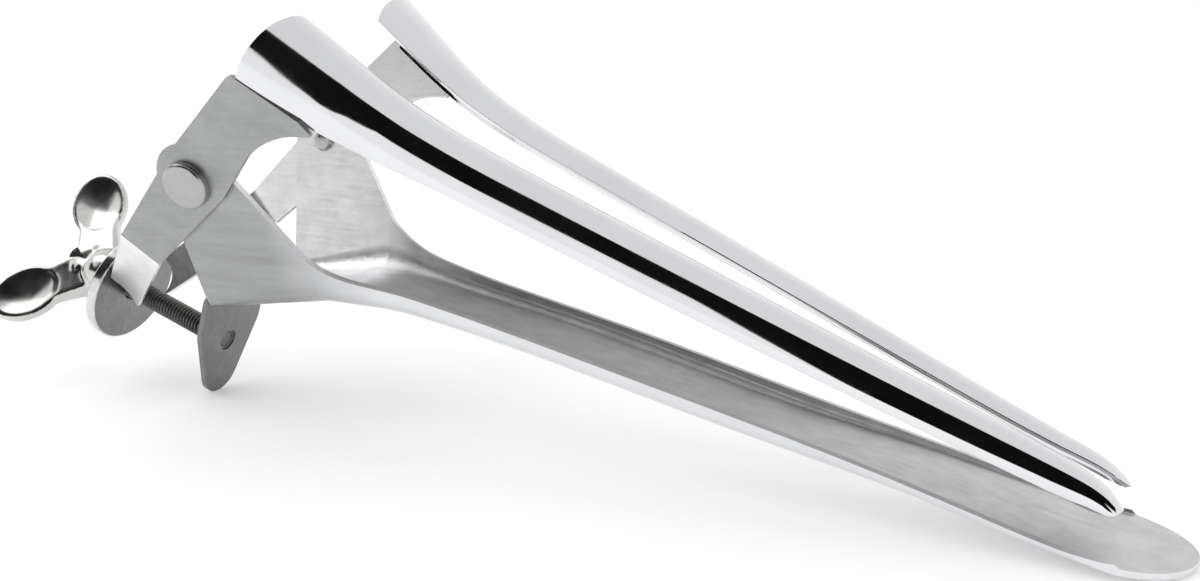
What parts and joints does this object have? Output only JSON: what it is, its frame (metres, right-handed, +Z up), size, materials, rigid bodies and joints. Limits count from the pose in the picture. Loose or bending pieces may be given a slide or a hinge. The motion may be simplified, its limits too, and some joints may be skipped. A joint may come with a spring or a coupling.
{
  "type": "three-bladed veterinary speculum",
  "caption": "Polished steel speculum with one trough-shaped lower blade and two curved upper blades that swing open when a wing nut pushes a washer along a screw.",
  "frame": {"origin": "bottom centre of the whole instrument at rest, with the blades closed", "axes": "+X from the wing nut towards the tips of the blades, +Y to the left of the person holding it, +Z up"},
  "size_m": [0.3164, 0.07, 0.1056],
  "materials": {
    "blade_steel": "polished stainless sheet, satin on the flat arms and ears",
    "rivet_steel": "turned steel with a bright edge",
    "screw_steel": "rolled thread, slightly dull",
    "washer_steel": "turned steel, bright rim",
    "nut_chrome": "polished casting"
  },
  "bodies": {
    "frame": {"lower_blade": "blade_steel", "pivot_rivet_right": "rivet_steel", "pivot_rivet_left": "rivet_steel", "screw": "screw_steel"},
    "right_blade": {"upper_blade_right": "blade_steel"},
    "left_blade": {"upper_blade_left": "blade_steel"},
    "washer": {"thrust_washer": "washer_steel"},
    "nut": {"wing_nut": "nut_chrome"}
  },
  "joints": [
    {"name": "right_swing", "type": "hinge", "parent": "frame", "child": "right_blade", "pos_m": [-0.0703, -0.02801, 0.06599], "axis": [0.0775, -0.9628, -0.2588], "range_deg": [0, 15]},
    {"name": "left_swing", "type": "hinge", "parent": "frame", "child": "left_blade", "pos_m": [-0.0703, 0.02801, 0.06599], "axis": [-0.0775, -0.9628, 0.2588], "range_deg": [0, 15]},
    {"name": "washer_slide", "type": "slide", "parent": "frame", "child": "washer", "axis": [0.9449, 0, -0.3272], "range_m": [0, 0.01382]},
    {"name": "nut_spin", "type": "hinge", "parent": "washer", "child": "nut", "pos_m": [-0.12296, 0, 0.02726], "axis": [0.9449, 0, -0.3272], "range_deg": [0, 4944]}
  ],
  "couplings": [
    {"joint": "left_swing", "follows": "right_swing", "ratio": 1},
    {"joint": "washer_slide", "follows": "right_swing", "m_per_rad": 0.0524},
    {"joint": "nut_spin", "follows": "right_swing", "ratio": 329.24}
  ]
}
